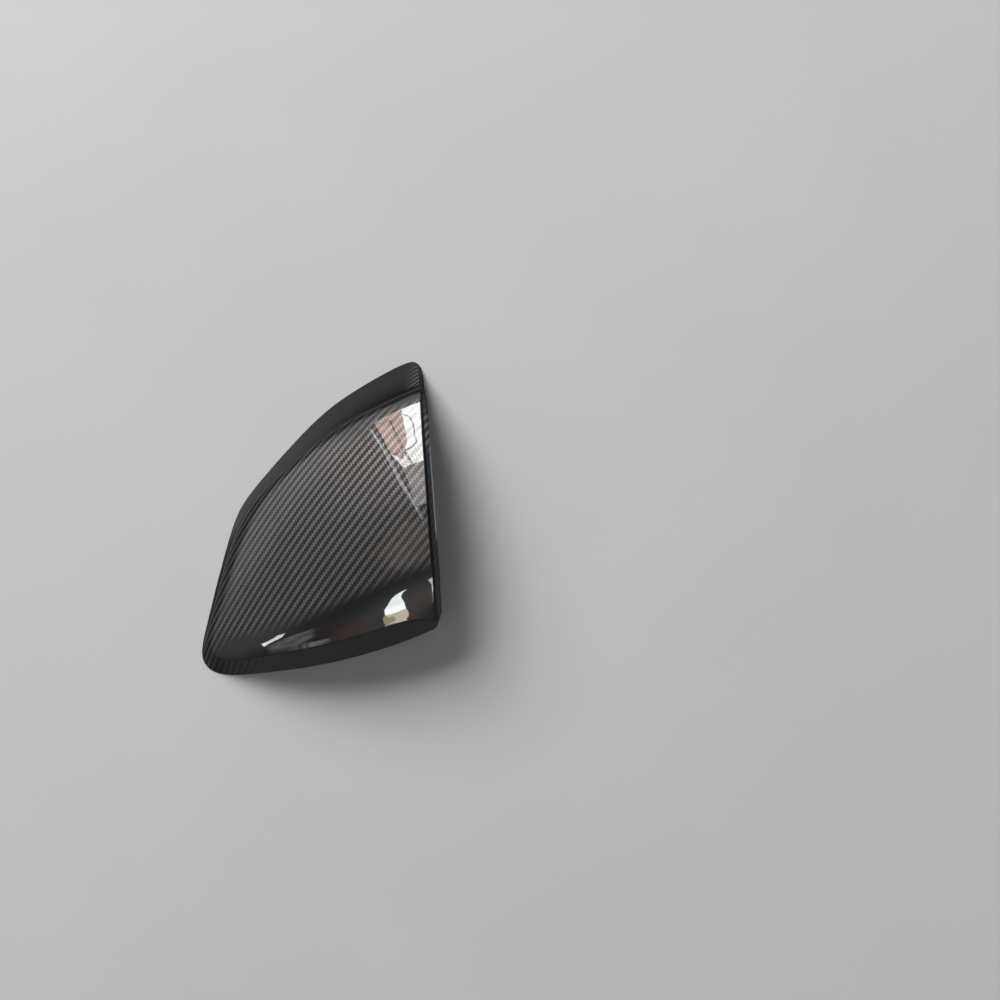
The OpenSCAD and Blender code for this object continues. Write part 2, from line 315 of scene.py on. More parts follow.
def rim_and_edge(outer_row, fold_top, inner_row, fold_in, n_row, n_fold, ni_row, ni_fold):
    """Loops that round the trimmed edge between the two skins. Each is (points, normals)."""
    rim_o, rim_i = outer_row, inner_row
    o = np.concatenate([rim_o, fold_top[1:, -1], fold_top[-1, ::-1][1:], fold_top[1:-1, 0][::-1]], 0)
    i = np.concatenate([rim_i, fold_in[1:, -1], fold_in[-1, ::-1][1:], fold_in[1:-1, 0][::-1]], 0)
    no = np.concatenate([n_row, n_fold[1:, -1], n_fold[-1, ::-1][1:], n_fold[1:-1, 0][::-1]], 0)
    ni = np.concatenate([ni_row, ni_fold[1:, -1], ni_fold[-1, ::-1][1:], ni_fold[1:-1, 0][::-1]], 0)
    out_dir = unit(fold_top[-1] - fold_top[-2])
    down = np.array([0.0, 0.0, -1.0])
    d = np.repeat(down[None], len(o), 0)
    a = len(rim_o) + len(fold_top) - 1            # first vertex after the lower corner
    m = fold_top.shape[1]
    d[a - 1] = unit(out_dir[-1] + down)
    d[a:a + m - 2] = out_dir[::-1][1:-1]
    d[a + m - 2] = unit(out_dir[0] + down)
    e = unit(i - o)
    loops = []
    for f in (30, 60, 90):
        c, s = math.cos(math.radians(f)), math.sin(math.radians(f))
        loops.append((o + e * ROUND * (1 - c) + d * ROUND * s, unit(no * c + d * s)))
    for f in (90, 60, 30):
        c, s = math.cos(math.radians(f)), math.sin(math.radians(f))
        loops.append((i - e * ROUND * (1 - c) + d * ROUND * s, unit(-ni * c + d * s)))
    return loops


loops = rim_and_edge(outer[:, 0], ofold, inner[:, 0], ifold, nouter[:, 0], nofold, ninner[:, 0], nifold)
pole_in = pole3 - WALL * pole_n
FOLDS = len(OUT_S) - 1
pts = [outer.reshape(-1, 3), pole3[None], ofold[1:].reshape(-1, 3)]
nrm = [nouter.reshape(-1, 3), pole_n[None], nofold[1:].reshape(-1, 3)]
per_skin = sum(len(p) for p in pts)
pts += [inner.reshape(-1, 3), pole_in[None], ifold[1:].reshape(-1, 3)]
nrm += [-ninner.reshape(-1, 3), -pole_n[None], -nifold[1:].reshape(-1, 3)]
f_out, border = faces_of(RIBS, ROWS, FOLDS, 0)
f_in, border_in = faces_of(RIBS, ROWS, FOLDS, per_skin)
f_in = [tuple(reversed(f)) for f in f_in]
ring_ids = [border]
base = 2 * per_skin
for p, n in loops:
    pts.append(p)
    nrm.append(n)
    ring_ids.append(list(range(base, base + len(p))))
    base += len(p)
ring_ids.append(border_in)
f_edge = []
for a, b in zip(ring_ids, ring_ids[1:]):
    k = len(a)
    f_edge += [(a[i], b[i], b[(i + 1) % k], a[(i + 1) % k]) for i in range(k)]
pts = np.concatenate(pts, 0)
nrm = unit(np.concatenate(nrm, 0))
faces = f_out + f_in + f_edge

# cloth coordinates and how plainly the cloth shows, for every vertex
uv = np.zeros((len(pts), 2))
skin_uv = np.concatenate([main_uv.reshape(-1, 2), pole_uv[None], fold_uv[1:].reshape(-1, 2)], 0)
uv[:per_skin] = skin_uv
uv[per_skin:2 * per_skin] = skin_uv
for p_ids, b_ids in ((ring_ids[k], border) for k in range(1, 7)):
    uv[p_ids] = uv[b_ids]
vv = np.repeat(((NS - 1.0) * np.arange(RIBS + 1) / RIBS)[:, None], ROWS, 1)


def ease(x, a, b):
    t = np.clip((x - a) / (b - a), 0, 1)
    return t * t * (3 - 2 * t)


low = 1 - ease(u_out, 2.2, 3.0)                      # 1 on the band and the lip, below the break line
bottom_side = ease(vv, 9.8, 10.8)
top_side = 1 - ease(vv, 5.6, 7.2)
step_end = 7.0 - 3.4 * ease(vv, 0.6, 3.0)            # how far up the shoulders reach
roll_end = 5.8 + 2.1 * ease(vv, 9.8, 11.8)
step = ease(u_out, 1.8, 2.3) * (1 - ease(u_out, step_end - 0.7, step_end + 0.7)) * top_side
roll = ease(u_out, 1.8, 2.3) * (1 - ease(u_out, roll_end - 0.8, roll_end + 0.9)) * bottom_side
edge_band = low * top_side * ease(vv, 0.1, 0.9)
lip = low * bottom_side
# painted shade: on the band, the shoulders, the roll and the lip the weave is flattened into a plain colour and that
# colour is darkened, on the band more towards the ledge, where reflections and shade hide the cloth
clear_main = 1 - np.maximum.reduce([edge_band, lip * (0.75 + 0.25 * ease(vv, 11.4, 12.6)), step, roll])
painted_dim_main = np.maximum.reduce([low * top_side * ease(u_out, 0.7, 2.4), lip * 0.7, step * 0.7, roll * 0.85 * ease(vv, 11.0, 12.8)])
fold_w = w_out[1:]
bend_s = np.array(OUT_S[1:])[:, None] * np.ones_like(fold_w)
upper_arch = ease(fold_w, 7.4, 8.6) * (1 - ease(fold_w, 10.8, 12.4))
clear = np.ones(len(pts))
clear[: clear_main.size] = clear_main.reshape(-1)
# painted shade on the flange: its weave is flattened into plain colour except on the upper arch
clear[(RIBS + 1) * ROWS + 1: per_skin] = (0.28 + 0.72 * upper_arch).reshape(-1)
clear[per_skin:2 * per_skin] = 0.6
dark = np.zeros(len(pts))
dark[: painted_dim_main.size] = painted_dim_main.reshape(-1)
# painted shade: the flange's plain colour is darkened
dark[(RIBS + 1) * ROWS + 1: per_skin] = 0.35
turned = np.zeros(len(pts))                          # painted shade: 1 in the bend of the flange and along the ledge, where the colour is darkened as shade
# painted shade: darker colour in the groove under the dome's upper edge, at the outer end, in a valley on the dome and
# in the crease over the lip
groove_end = 9.8 - 5.4 * ease(vv, 3.0, 5.2)
groove = (ease(u_out, 1.9, 2.5) * (1 - ease(u_out, 0.5 * groove_end, groove_end))
          * (1 - ease(vv, 5.5, 8.0)) * (0.9 - 0.15 * ease(u_out, 4.0, 5.0)))
left_end = (ease(vv, 6.6, 8.2) * (1 - ease(vv, 9.8, 10.6)) * (1 - ease(u_out, 3.0, 6.5)) * 0.5
            + ease(vv, 7.0, 7.6) * (1 - ease(vv, 8.6, 10.0)) * (1 - ease(u_out, 1.0, 1.9)) * 0.3)
valley = (ease(u_out, 4.4, 5.1) * (1 - ease(u_out, 5.5, 6.5))
          * ease(vv, 3.6, 4.8) * (1 - ease(vv, 8.8, 10.0)) * 0.48)
crease = ease(u_out, 2.2, 2.5) * (1 - ease(u_out, 2.8, 3.4)) * ease(vv, 11.8, 13.2) * 0.8
turned[: groove.size] = np.maximum.reduce([groove, left_end, valley, crease]).reshape(-1)
# painted shade along the bend of the flange
turned[(RIBS + 1) * ROWS + 1: per_skin] = (1 - ease(bend_s, 1.0, 2.2)).reshape(-1)
painted_highlight = np.zeros(len(pts))                        # painted highlight: 1 on the upper part of the flange, where the colour is brightened for tows catching the light
painted_highlight[(RIBS + 1) * ROWS + 1: per_skin] = (upper_arch * ease(bend_s, 1.0, 2.4)).reshape(-1)

# ---------------------------------------------------------------- materials
class Graph:
    """Small helper to lay shader nodes in code."""

    def __init__(self, name):
        self.mat = bpy.data.materials.new(name)
        self.mat.use_nodes = True
        self.t = self.mat.node_tree
        self.bsdf = next(n for n in self.t.nodes if n.type == "BSDF_PRINCIPLED")

    def link(self, a, b):
        self.t.links.new(a, b)

    def put(self, socket, value):
        if isinstance(value, bpy.types.NodeSocket):
            self.link(value, socket)
        else:
            socket.default_value = value

    def node(self, kind, **props):
        n = self.t.nodes.new(kind)
        for k, v in props.items():
            setattr(n, k, v)
        return n

    def math(self, op, a, b=None, c=None):
        n = self.node("ShaderNodeMath", operation=op)
        for s, v in zip(n.inputs, (a, b, c)):
            if v is not None:
                self.put(s, v)
        return n.outputs[0]

    def mix(self, f, a, b):
        """Number mix: a at f = 0, b at f = 1."""
        n = self.node("ShaderNodeMix", data_type="FLOAT")
        self.put(n.inputs[0], f)
        self.put(n.inputs[2], a)
        self.put(n.inputs[3], b)
        return n.outputs[0]

    def tint(self, f, a, b):
        n = self.node("ShaderNodeMix", data_type="RGBA")
        self.put(n.inputs[0], f)
        self.put(n.inputs[6], a)
        self.put(n.inputs[7], b)
        return n.outputs[2]

    def ramp(self, f, lo, hi, a=0.0, b=1.0):
        n = self.node("ShaderNodeMapRange", interpolation_type="SMOOTHSTEP")
        for s, v in zip(n.inputs, (f, lo, hi, a, b)):
            self.put(s, v)
        return n.outputs[0]

    def xyz(self, x, y, z=0.0):
        n = self.node("ShaderNodeCombineXYZ")
        for s, v in zip(n.inputs, (x, y, z)):
            self.put(s, v)
        return n.outputs[0]

    def split(self, v):
        n = self.node("ShaderNodeSeparateXYZ")
        self.link(v, n.inputs[0])
        return n.outputs[0], n.outputs[1], n.outputs[2]

    def noise(self, v, scale, detail=2.0, rough=0.5):
        n = self.node("ShaderNodeTexNoise")
        self.link(v, n.inputs["Vector"])
        n.inputs["Scale"].default_value = scale
        n.inputs["Detail"].default_value = detail
        n.inputs["Roughness"].default_value = rough
        return n.outputs[0]

    def attribute(self, name):
        return self.node("ShaderNodeAttribute", attribute_name=name).outputs["Fac"]

    def bump(self, height, distance, strength=1.0, normal=None):
        n = self.node("ShaderNodeBump")
        self.put(n.inputs["Height"], height)
        self.put(n.inputs["Distance"], distance)
        self.put(n.inputs["Strength"], strength)
        if normal is not None:
            self.link(normal, n.inputs["Normal"])
        return n.outputs[0]


TOW = 0.00175                      # pitch of the tows, metres
CLOTH_TURN = math.radians(-4.0)    # the cloth lies a few degrees off the straight side


def twill(g):
    """2x2 twill from the cloth coordinates. Returns warp on top (0 or 1), height 0..1, fibre streaks, softness of each float."""
    uvn = g.node("ShaderNodeUVMap", uv_map="cloth").outputs[0]
    rot = g.node("ShaderNodeVectorRotate", rotation_type="Z_AXIS")
    g.link(uvn, rot.inputs["Vector"])
    rot.inputs["Angle"].default_value = CLOTH_TURN
    x0, y0, _ = g.split(rot.outputs[0])
    wob = g.noise(g.xyz(x0, y0), 60.0, 1.0)
    wander = g.math("MULTIPLY", g.math("SUBTRACT", wob, 0.5), 0.35)
    x = g.math("ADD", g.math("DIVIDE", x0, TOW), wander)
    y = g.math("ADD", g.math("DIVIDE", y0, TOW), wander)
    i, j = g.math("FLOOR", x), g.math("FLOOR", y)
    fx = g.math("SUBTRACT", g.math("SUBTRACT", x, i), 0.5)
    fy = g.math("SUBTRACT", g.math("SUBTRACT", y, j), 0.5)
    d = g.math("FLOORED_MODULO", g.math("SUBTRACT", i, j), 4.0)
    warp = g.math("LESS_THAN", d, 1.5)
    sw = g.math("SUBTRACT", g.math("FLOORED_MODULO", g.math("ADD", g.math("SUBTRACT", y, i), 2.0), 4.0), 2.0)
    sf = g.math("SUBTRACT", g.math("FLOORED_MODULO", g.math("SUBTRACT", g.math("SUBTRACT", x, j), 1.0), 4.0), 2.0)
    across = g.math("ABSOLUTE", g.mix(warp, fy, fx))
    along = g.math("ABSOLUTE", g.mix(warp, sf, sw))
    a2 = g.math("POWER", g.math("MULTIPLY", across, 2.0), 2.6)
    l2 = g.math("POWER", along, 2.4)
    h = g.math("MULTIPLY", g.math("SUBTRACT", 1.0, g.math("MULTIPLY", a2, 0.75)),
               g.math("SUBTRACT", 1.0, g.math("MULTIPLY", l2, 0.72)))
    sx = g.mix(warp, g.math("MULTIPLY", x, 0.45), g.math("MULTIPLY", x, 9.0))
    sy = g.mix(warp, g.math("MULTIPLY", y, 9.0), g.math("MULTIPLY", y, 0.45))
    streak = g.noise(g.xyz(sx, sy), 1.0, 2.0, 0.6)
    tone = g.noise(g.xyz(g.mix(warp, 0.0, i), g.mix(warp, j, 0.0), warp), 3.7, 0.0)
    return warp, h, streak, tone


def carbon(name, gloss):
    g = Graph(name)
    warp, h, streak, tone = twill(g)
    clear = g.attribute("clear")
    dark = g.attribute("dark")
    # the twill is the cloth's own pattern; the light colour of the lengthwise tows against the dark crosswise ones
    # between them is painted sheen, and each tow darkened towards its sides and ends is painted shade
    shade = g.math("MULTIPLY", g.math("ADD", 0.35, g.math("MULTIPLY", h, 0.65)),
                   g.math("ADD", 0.72, g.math("MULTIPLY", streak, 0.56)))
    shade = g.math("MULTIPLY", shade, g.math("ADD", 0.85, g.math("MULTIPLY", tone, 0.30)))
    lit = g.math("MULTIPLY", shade, g.mix(warp, 0.020, 0.165)) if gloss else g.math("MULTIPLY", shade, g.mix(warp, 0.030, 0.045))
    # painted shade: the plain colour darkens from 0.034 to 0.007 where the dark mask is 1
    plain = g.mix(dark, 0.034, 0.007) if gloss else 0.035
    value = g.mix(clear, plain, lit)
    # painted shade: the colour is darkened by up to 92% where the turned mask is 1
    value = g.math("MULTIPLY", value, g.math("SUBTRACT", 1.0, g.math("MULTIPLY", g.attribute("turned"), 0.92)))
    # painted highlight: the colour on the upper flange is brightened up to 3.2 times
    value = g.math("MULTIPLY", value, g.math("ADD", 1.0, g.math("MULTIPLY", g.attribute("painted_highlight"), 2.2)))
    n = g.node("ShaderNodeCombineColor")
    g.link(value, n.inputs[0])
    g.link(g.math("MULTIPLY", value, 0.975), n.inputs[1])
    g.link(g.math("MULTIPLY", value, 0.945), n.inputs[2])
    g.link(n.outputs[0], g.bsdf.inputs["Base Color"])
    rough = g.mix(clear, 0.48, g.math("ADD", g.mix(warp, 0.46, 0.36), g.math("MULTIPLY", streak, 0.12)))
    if not gloss:
        rough = g.math("ADD", rough, 0.12)
    g.link(rough, g.bsdf.inputs["Roughness"])
    g.bsdf.inputs["Metallic"].default_value = 0.35 if gloss else 0.0
    coarse = g.math("ADD", h, g.math("MULTIPLY", streak, 0.18))
    g.link(g.bump(coarse, 0.00022 if gloss else 0.00010, g.math("MULTIPLY", clear, 0.85)), g.bsdf.inputs["Normal"])
    if gloss:
        g.bsdf.inputs["Specular IOR Level"].default_value = 0.2
        g.bsdf.inputs["Coat Weight"].default_value = 1.0
        g.bsdf.inputs["Coat Roughness"].default_value = 0.025
        g.bsdf.inputs["Coat IOR"].default_value = 1.52
    return g.mat


def edge_material():
    """The sanded and sealed edge of the laminate: thin layers in black resin."""
    g = Graph("laminate_edge")
    tc = g.node("ShaderNodeTexCoord").outputs["Object"]
    x, y, z = g.split(tc)
    grain = g.noise(g.xyz(g.math("MULTIPLY", x, 900.0), g.math("MULTIPLY", y, 900.0), g.math("MULTIPLY", z, 900.0)), 1.0, 3.0)
    v = g.ramp(grain, 0.35, 0.75, 0.012, 0.045)
    n = g.node("ShaderNodeCombineColor")
    for k in range(3):
        g.link(v, n.inputs[k])
    g.link(n.outputs[0], g.bsdf.inputs["Base Color"])
    g.link(g.ramp(grain, 0.3, 0.8, 0.42, 0.6), g.bsdf.inputs["Roughness"])
    g.link(g.bump(grain, 0.00006, 0.6), g.bsdf.inputs["Normal"])
    return g.mat


# ---------------------------------------------------------------- the shell
me = bpy.data.meshes.new("cover_shell")
me.from_pydata(to_m(pts).tolist(), [], faces)
me.polygons.foreach_set("use_smooth", [True] * len(me.polygons))
mats = np.zeros(len(faces), int)
mats[len(f_out): len(f_out) + len(f_in)] = 1
mats[len(f_out) + len(f_in):] = 2
loop_v = np.zeros(len(me.loops), int)
me.loops.foreach_get("vertex_index", loop_v)
layer = me.uv_layers.new(name="cloth")
layer.data.foreach_set("uv", (uv[loop_v] / 1000.0).reshape(-1))
for name, values in (("clear", clear), ("dark", dark), ("turned", turned), ("painted_highlight", painted_highlight)):
    at_ = me.attributes.new(name, "FLOAT", "POINT")
    at_.data.foreach_set("value", values)
me.materials.append(carbon("carbon_gloss", True))
me.materials.append(carbon("carbon_inside", False))
me.materials.append(edge_material())
me.validate()
me.polygons.foreach_set("material_index", mats.tolist())
me.normals_split_custom_set_from_vertices(nrm.tolist())
shell = bpy.data.objects.new("cover_shell", me)
bpy.context.collection.objects.link(shell)
print("shell triangles", sum(len(p.vertices) - 2 for p in me.polygons))
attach(shell, "root")
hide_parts("mirror_cover")


# ---------------------------------------------------------------- fittings on the inside
# Same places and sizes as in the solid, in mm, in the finished frame
PEG_AT = [(66, 10), (66, -30)]
BOSS_R, BOSS_END, PEG_R, PEG_L = 5.0, CROWN - WALL - 16.0, 3.0, 10.0
RIB_LINES = [((66, -50), (66, 50)), ((-4, 10), (72, 10)), ((-28, -30), (72, -30))]
RIB_T, RIB_D = 1.6, 6.0
HOOK_AT = [(1.7, 1.7), (4.5, 2.2), (8, 5.6), (12.7, 5), (14.6, 4.8)]
HOOK_W, HOOK_T, HOOK_BARB, HOOK_FOOT = 12.0, 2.2, 2.0, 4.0


def wall_z(x, y):
    n = dome_normal(np.array(x + MID[0]), np.array(y + MID[1]))
    return float(dome(x + MID[0], y + MID[1]) - WALL / 2 / n[2])


def prism(bm, outline, place, thick):
    """Adds a prism: outline in (x, z), thick along y, then moved by place."""
    half = thick / 2
    front = [bm.verts.new(place(x, -half, z)) for x, z in outline]
    back = [bm.verts.new(place(x, half, z)) for x, z in outline]
    bm.faces.new(front)
    bm.faces.new(back[::-1])
    n = len(outline)
    for i in range(n):
        j = (i + 1) % n
        bm.faces.new((front[j], front[i], back[i], back[j]))


def lathe(bm, profile, x, y, sides=72):
    """Adds a turned form from (radius, z) pairs; it is closed where the radius is 0."""
    rings = []
    for r, z in profile:
        if r < 1e-6:
            rings.append([bm.verts.new((x / 1000, y / 1000, z / 1000))])
        else:
            rings.append([bm.verts.new(((x + r * math.cos(2 * math.pi * k / sides)) / 1000,
                                        (y + r * math.sin(2 * math.pi * k / sides)) / 1000, z / 1000))
                          for k in range(sides)])
    for a, b in zip(rings, rings[1:]):
        for k in range(sides):
            q = (k + 1) % sides
            if len(a) == 1:
                bm.faces.new((a[0], b[k], b[q]))
            elif len(b) == 1:
                bm.faces.new((a[k], b[0], a[q]))
            else:
                bm.faces.new((a[k], b[k], b[q], a[q]))


def corner(cx, cz, r, a0, a1, n=6):
    """Points of a rounded corner: centre, radius, angles in degrees."""
    return [(cx + r * math.cos(math.radians(a0 + (a1 - a0) * i / n)),
             cz + r * math.sin(math.radians(a0 + (a1 - a0) * i / n))) for i in range(n + 1)]


def finish_piece(bm, name, mat, bevel=0.0, segments=3):
    bmesh.ops.recalc_face_normals(bm, faces=bm.faces)
    m = bpy.data.meshes.new(name)
    bm.to_mesh(m)
    bm.free()
    m.polygons.foreach_set("use_smooth", [True] * len(m.polygons))
    m.materials.append(mat)
    o = bpy.data.objects.new(name, m)
    bpy.context.collection.objects.link(o)
    if bevel:
        b = o.modifiers.new("eased", "BEVEL")
        b.width = bevel / 1000
        b.segments = segments
        b.limit_method = "ANGLE"
        b.angle_limit = math.radians(30)
        b.harden_normals = True
    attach(o, "root")
    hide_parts("mirror_cover")
    return o


def moulded():
    """Short-fibre moulding compound: satin black with a fine grained skin and faint flow marks."""
    g = Graph("moulded_black")
    x, y, z = g.split(g.node("ShaderNodeTexCoord").outputs["Object"])
    def scaled(a, b, c):
        return g.xyz(g.math("MULTIPLY", x, a), g.math("MULTIPLY", y, b), g.math("MULTIPLY", z, c))
    grain = g.noise(scaled(1600.0, 1600.0, 1600.0), 1.0, 3.0, 0.6)
    flow = g.noise(scaled(120.0, 120.0, 40.0), 1.0, 2.0)
    v = g.math("ADD", g.ramp(flow, 0.3, 0.7, 0.016, 0.026), g.math("MULTIPLY", grain, 0.012))
    n = g.node("ShaderNodeCombineColor")
    for k in range(3):
        g.link(v, n.inputs[k])
    g.link(n.outputs[0], g.bsdf.inputs["Base Color"])
    g.link(g.ramp(flow, 0.3, 0.7, 0.40, 0.52), g.bsdf.inputs["Roughness"])
    g.link(g.bump(grain, 0.00005, 0.7), g.bsdf.inputs["Normal"])
    return g.mat


black = moulded()

bm = bmesh.new()
for px, py in PEG_AT:
    top = min(wall_z(px + dx, py + dy) for dx in (-6.5, 6.5) for dy in (-6.5, 6.5)) + 0.2
    prof = [(0, top), (BOSS_R + 1.4, top)]
    prof += [(BOSS_R + 1.4 - a, top - 1.0 - b) for a, b in ((0.0, 0.0), (0.7, 0.35), (1.15, 0.9), (1.4, 1.6))]
    prof += corner(BOSS_R - 0.6, BOSS_END + 0.6, 0.6, 0, -90)
    prof += [(PEG_R + 0.5, BOSS_END), (PEG_R + 0.15, BOSS_END - 0.15), (PEG_R, BOSS_END - 0.5)]
    prof += [(PEG_R, BOSS_END - PEG_L + 2.0), (PEG_R - 0.15, BOSS_END - PEG_L + 1.2)]
    prof += corner(PEG_R - 1.1, BOSS_END - PEG_L + 0.8, 0.8, 0, -90)
    prof += [(0, BOSS_END - PEG_L)]
    lathe(bm, prof, px, py)
finish_piece(bm, "locating_pegs", black)

bm = bmesh.new()
for (ax, ay), (bx, by) in RIB_LINES:
    length = math.hypot(bx - ax, by - ay)
    dx, dy = (bx - ax) / length, (by - ay) / length
    n = 40
    tops = [(length * i / n, wall_z(ax + dx * length * i / n, ay + dy * length * i / n)) for i in range(n + 1)]
    lows = [(t, z - RIB_D - WALL / 2) for t, z in tops][::-1]
    prism(bm, tops + lows, lambda u, w, z, ax=ax, ay=ay, dx=dx, dy=dy:
          ((ax + dx * u - dy * w) / 1000, (ay + dy * u + dx * w) / 1000, z / 1000), RIB_T)
finish_piece(bm, "stiffening_ribs", black, 0.35)

bm = bmesh.new()
for v, u in HOOK_AT:
    c, c2 = rib_pairs(np.array([float(v)]))
    uu = np.array([[float(u)]])
    p, nn = at(c, uu)[0, 0], normals(c, c2, uu)[0, 0]
    slope = math.hypot(nn[0], nn[1]) / nn[2]
    z, t = p[2] - WALL / 2 / nn[2], HOOK_T / 2
    hx, hy = -nn[0] / math.hypot(nn[0], nn[1]), -nn[1] / math.hypot(nn[0], nn[1])
    ox, oy = p[0] - MID[0], p[1] - MID[1]
    outline = [(t, HOOK_FOOT), (t, z + slope * t), (-t, z - slope * t), (-t, HOOK_FOOT + 6),
               (-t - HOOK_BARB, HOOK_FOOT + 5), (-t - HOOK_BARB, HOOK_FOOT + 4), (-t, HOOK_FOOT)]
    prism(bm, outline, lambda a, w, zz, ox=ox, oy=oy, hx=hx, hy=hy:
          ((ox + hx * a - hy * w) / 1000, (oy + hy * a + hx * w) / 1000, zz / 1000), HOOK_W)
finish_piece(bm, "snap_hooks", black, 0.3)


# ---------------------------------------------------------------- camera: nearly overhead, a little to one side
AZ, EL = math.radians(-4.0), math.radians(76.0)
forward = Vector((-math.sin(AZ) * math.cos(EL), math.cos(AZ) * math.cos(EL), -math.sin(EL)))
right = Vector((math.cos(AZ), math.sin(AZ), 0.0))
up = right.cross(forward)
cam = bpy.data.objects.new("camera", bpy.data.cameras.new("camera"))
bpy.context.collection.objects.link(cam)
cam.data.lens, cam.data.sensor_width = 50.0, 36.0
cam.data.clip_start, cam.data.clip_end = 0.05, 50.0
cam.rotation_mode = "QUATERNION"
cam.location = Vector((0.1175, -0.2479, 1.0040))
cam.rotation_quaternion = Matrix((right, up, -forward)).transposed().to_quaternion()
bpy.context.scene.camera = cam


# ---------------------------------------------------------------- floor, light and what the gloss reflects
def plain_mesh(name, verts, quads, mat):
    m = bpy.data.meshes.new(name)
    m.from_pydata(verts, [], quads)
    m.materials.append(mat)
    o = bpy.data.objects.new(name, m)
    bpy.context.collection.objects.link(o)
    return o


def floor_material():
    g = Graph("floor_pale")
    x, y, z = g.split(g.node("ShaderNodeTexCoord").outputs["Object"])
    n = g.noise(g.xyz(g.math("MULTIPLY", x, 6.0), g.math("MULTIPLY", y, 6.0)), 1.0, 2.0)
    v = g.ramp(n, 0.2, 0.8, 0.72, 0.74)
    c = g.node("ShaderNodeCombineColor")
    for k in range(3):
        g.link(v, c.inputs[k])
    g.link(c.outputs[0], g.bsdf.inputs["Base Color"])
    g.bsdf.inputs["Roughness"].default_value = 0.8
    g.bsdf.inputs["Specular IOR Level"].default_value = 0.0
    return g.mat


plain_mesh("floor", [(-6, -6, 0), (6, -6, 0), (6, 6, 0), (-6, 6, 0)], [(0, 1, 2, 3)], floor_material())


def area(name, place, target, w, h, power, color=(1, 1, 1)):
    light = bpy.data.lights.new(name, "AREA")
    light.shape = "RECTANGLE"
    light.size, light.size_y, light.energy, light.color = w, h, power, color
    o = bpy.data.objects.new(name, light)
    bpy.context.collection.objects.link(o)
    o.location = place
    o.rotation_mode = "QUATERNION"
    o.rotation_quaternion = (Vector(target) - Vector(place)).to_track_quat("-Z", "Y")
    return o


def lamp(name, place, w, h, power):
    """A soft box that only lights: what the gloss mirrors is laid out below."""
    o = area(name, place, (0, 0, 0), w, h, power)
    o.visible_glossy = False
    o.visible_camera = False
    return o


lamp("key", (-1.9, 3.2, 2.9), 2.6, 2.6, 222)
bpy.data.objects["floor"].visible_glossy = False


def card(name, verts, quads, color, strength):
    """A glowing panel that shows only in the gloss."""
    g = Graph(name)
    g.t.nodes.remove(g.bsdf)
    e = g.node("ShaderNodeEmission")
    e.inputs["Color"].default_value = (*color, 1)
    out = next(n for n in g.t.nodes if n.type == "OUTPUT_MATERIAL")
    x, y, z = g.split(g.node("ShaderNodeTexCoord").outputs["Object"])
    soft = g.noise(g.xyz(x, y, z), 0.7, 2.0)
    level = g.math("MULTIPLY", g.ramp(soft, 0.25, 0.75, 0.75, 1.15), strength)
    g.put(e.inputs["Strength"], level)
    g.link(e.outputs[0], out.inputs["Surface"])
    o = plain_mesh(name, verts, quads, g.mat)
    o.visible_camera = o.visible_diffuse = o.visible_shadow = o.visible_transmission = o.visible_volume_scatter = False
    return o


def overhead(name, outline, color, strength):
    return card(name, [(x, y, 6.0) for x, y in outline], [tuple(range(len(outline)))], color, strength)


def upright(name, outline, color, strength):
    """In front, 4 m away: outline in X and Z."""
    return card(name, [(x, -4.0, z) for x, z in outline], [tuple(range(len(outline)))], color, strength)


def glow(name, outline, color, strength, core=0.5):
    """A glowing patch that fades out towards its outline (points in space) and adds to what is behind it."""
    k = len(outline)
    mid = [sum(q[i] for q in outline) / k for i in range(3)]
    ring = [[mid[i] + (q[i] - mid[i]) * core for i in range(3)] for q in outline]
    faces_ = [(0, 1 + i, 1 + (i + 1) % k) for i in range(k)]
    faces_ += [(1 + i, 1 + k + i, 1 + k + (i + 1) % k, 1 + (i + 1) % k) for i in range(k)]
    g = Graph(name)
    g.t.nodes.remove(g.bsdf)
    out = next(n for n in g.t.nodes if n.type == "OUTPUT_MATERIAL")
    e = g.node("ShaderNodeEmission")
    e.inputs["Color"].default_value = (*color, 1)
    x, y, z = g.split(g.node("ShaderNodeTexCoord").outputs["Object"])
    soft = g.noise(g.xyz(x, y, z), 1.6, 3.0)
    level = g.math("MULTIPLY", g.ramp(soft, 0.3, 0.7, 0.55, 1.3), strength)
    g.put(e.inputs["Strength"], g.math("MULTIPLY", level, g.ramp(g.attribute("fade"), 0.0, 1.0)))
    both = g.node("ShaderNodeAddShader")
    g.link(e.outputs[0], both.inputs[0])
    g.link(g.node("ShaderNodeBsdfTransparent").outputs[0], both.inputs[1])
    g.link(both.outputs[0], out.inputs["Surface"])
    o = plain_mesh(name, [mid] + ring + [list(q) for q in outline], faces_, g.mat)
    f = o.data.attributes.new("fade", "FLOAT", "POINT")
    f.data.foreach_set("value", [1.0] * (k + 1) + [0.0] * k)
    o.visible_camera = o.visible_diffuse = o.visible_shadow = o.visible_transmission = o.visible_volume_scatter = False
    return o


def front(outline, y=-4.1):
    return [(x, y, z) for x, z in outline]


def bar(name, line, width, strength, z=5.9):
    """A dark glazing bar under the roof light, along a line in X and Y."""
    verts, quads = [], []
    for i, (x, y) in enumerate(line):
        ax, ay = line[max(i - 1, 0)]
        bx, by = line[min(i + 1, len(line) - 1)]
        k = width * (0.5 + y / 12.0) / 2 / math.hypot(bx - ax, by - ay)
        verts += [(x - (by - ay) * k, y + (bx - ax) * k, z), (x + (by - ay) * k, y - (bx - ax) * k, z)]
    quads = [(2 * i, 2 * i + 1, 2 * i + 3, 2 * i + 2) for i in range(len(line) - 1)]
    return card(name, verts, quads, (0.86, 0.88, 1.0), strength)


